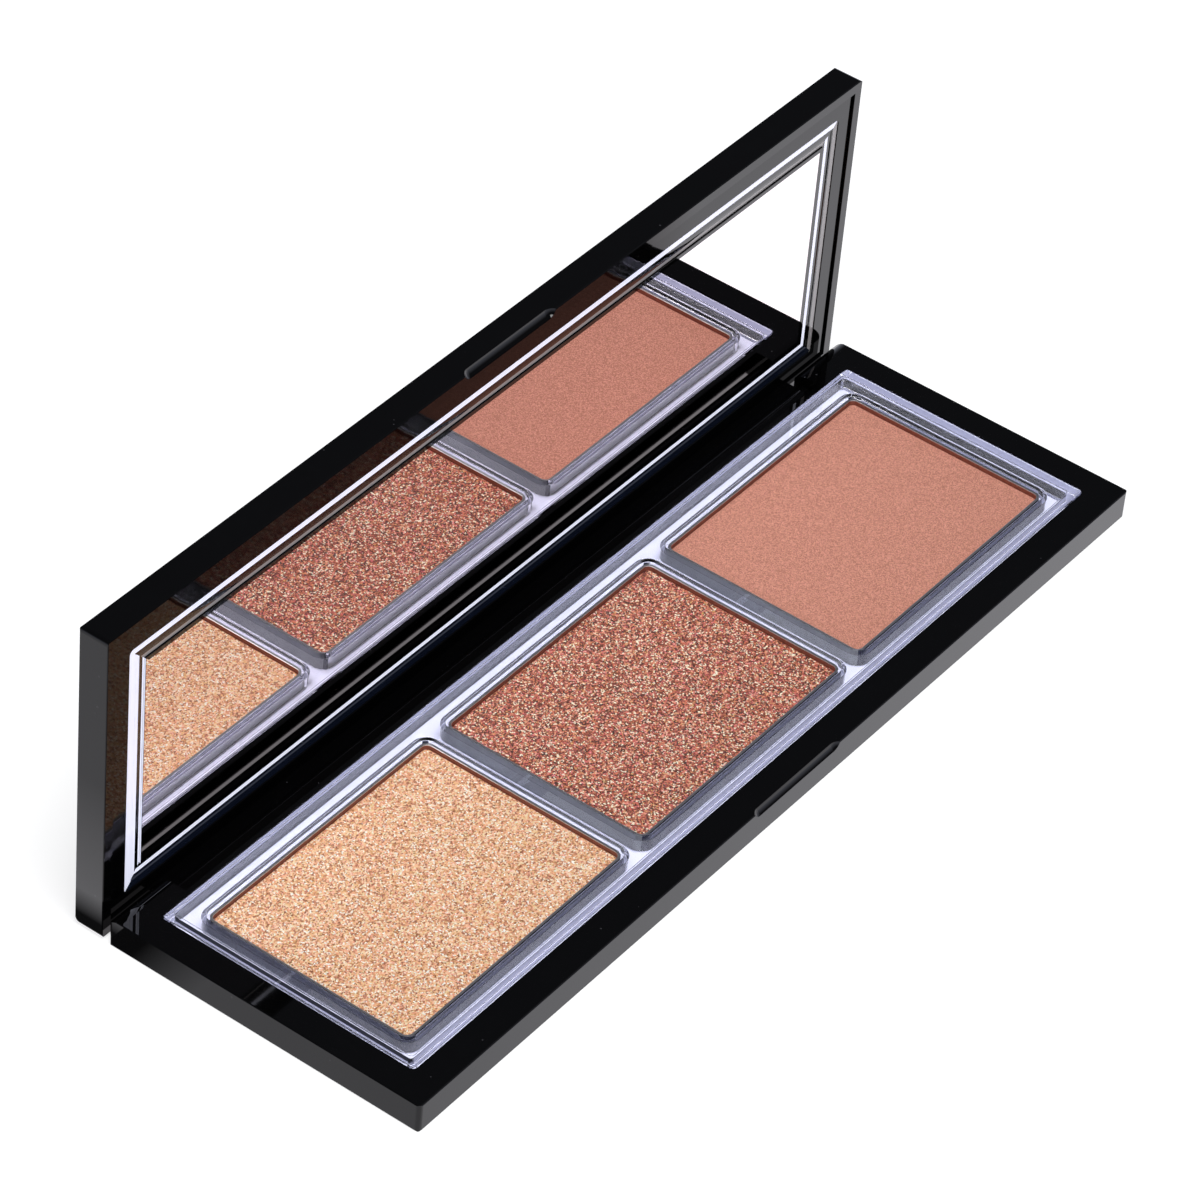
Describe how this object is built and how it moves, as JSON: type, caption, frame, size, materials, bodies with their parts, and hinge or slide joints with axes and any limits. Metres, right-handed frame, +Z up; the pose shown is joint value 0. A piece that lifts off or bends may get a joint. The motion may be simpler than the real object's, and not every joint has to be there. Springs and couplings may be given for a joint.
{
  "type": "eyeshadow palette",
  "caption": "Slim rectangular eyeshadow palette: a gloss black base holds pressed powders in a clear tray, and a hinged lid holds a mirror in a clear surround.",
  "frame": {"origin": "centre of the base's underside, on the surface that the palette lies on", "axes": "+X along the hinge, from the left pan to the right pan; +Y from the front edge to the hinge; +Z up, out of the powders"},
  "size_m": [0.14, 0.0493, 0.044],
  "materials": {
    "shell_gloss_black": "gloss",
    "frame_gloss_black": "gloss",
    "cover_satin_black": "satin",
    "liner_satin_silver": "satin",
    "clear_plastic": "polished",
    "pan_aluminium": "satin",
    "powder_gold": "satin",
    "powder_copper": "satin",
    "powder_terracotta": "matte",
    "adhesive": "matte",
    "magnet": "satin",
    "pin_steel": "polished",
    "mirror_glass": "polished"
  },
  "bodies": {
    "base": {"base_body": "shell_gloss_black", "bottom_cover": "cover_satin_black", "tray_liner": "liner_satin_silver", "clear_tray": "clear_plastic", "pan_left": "pan_aluminium", "pan_middle": "pan_aluminium", "pan_right": "pan_aluminium", "powder_left": "powder_gold", "powder_middle": "powder_copper", "powder_right": "powder_terracotta", "pan_glue_left": "adhesive", "pan_glue_middle": "adhesive", "pan_glue_right": "adhesive", "base_magnets": "magnet", "hinge_pin_left": "pin_steel", "hinge_pin_right": "pin_steel"},
    "lid": {"lid_shell": "shell_gloss_black", "lid_inner_frame": "frame_gloss_black", "mirror": "mirror_glass", "mirror_surround": "clear_plastic", "mirror_tape": "adhesive", "lid_magnets": "magnet"}
  },
  "joints": [
    {"name": "lid_hinge", "type": "hinge", "parent": "base", "child": "lid", "pos_m": [0, 0.0203, 0.00155], "axis": [-1, 0, 0], "range_deg": [-90, 1.5]}
  ]
}
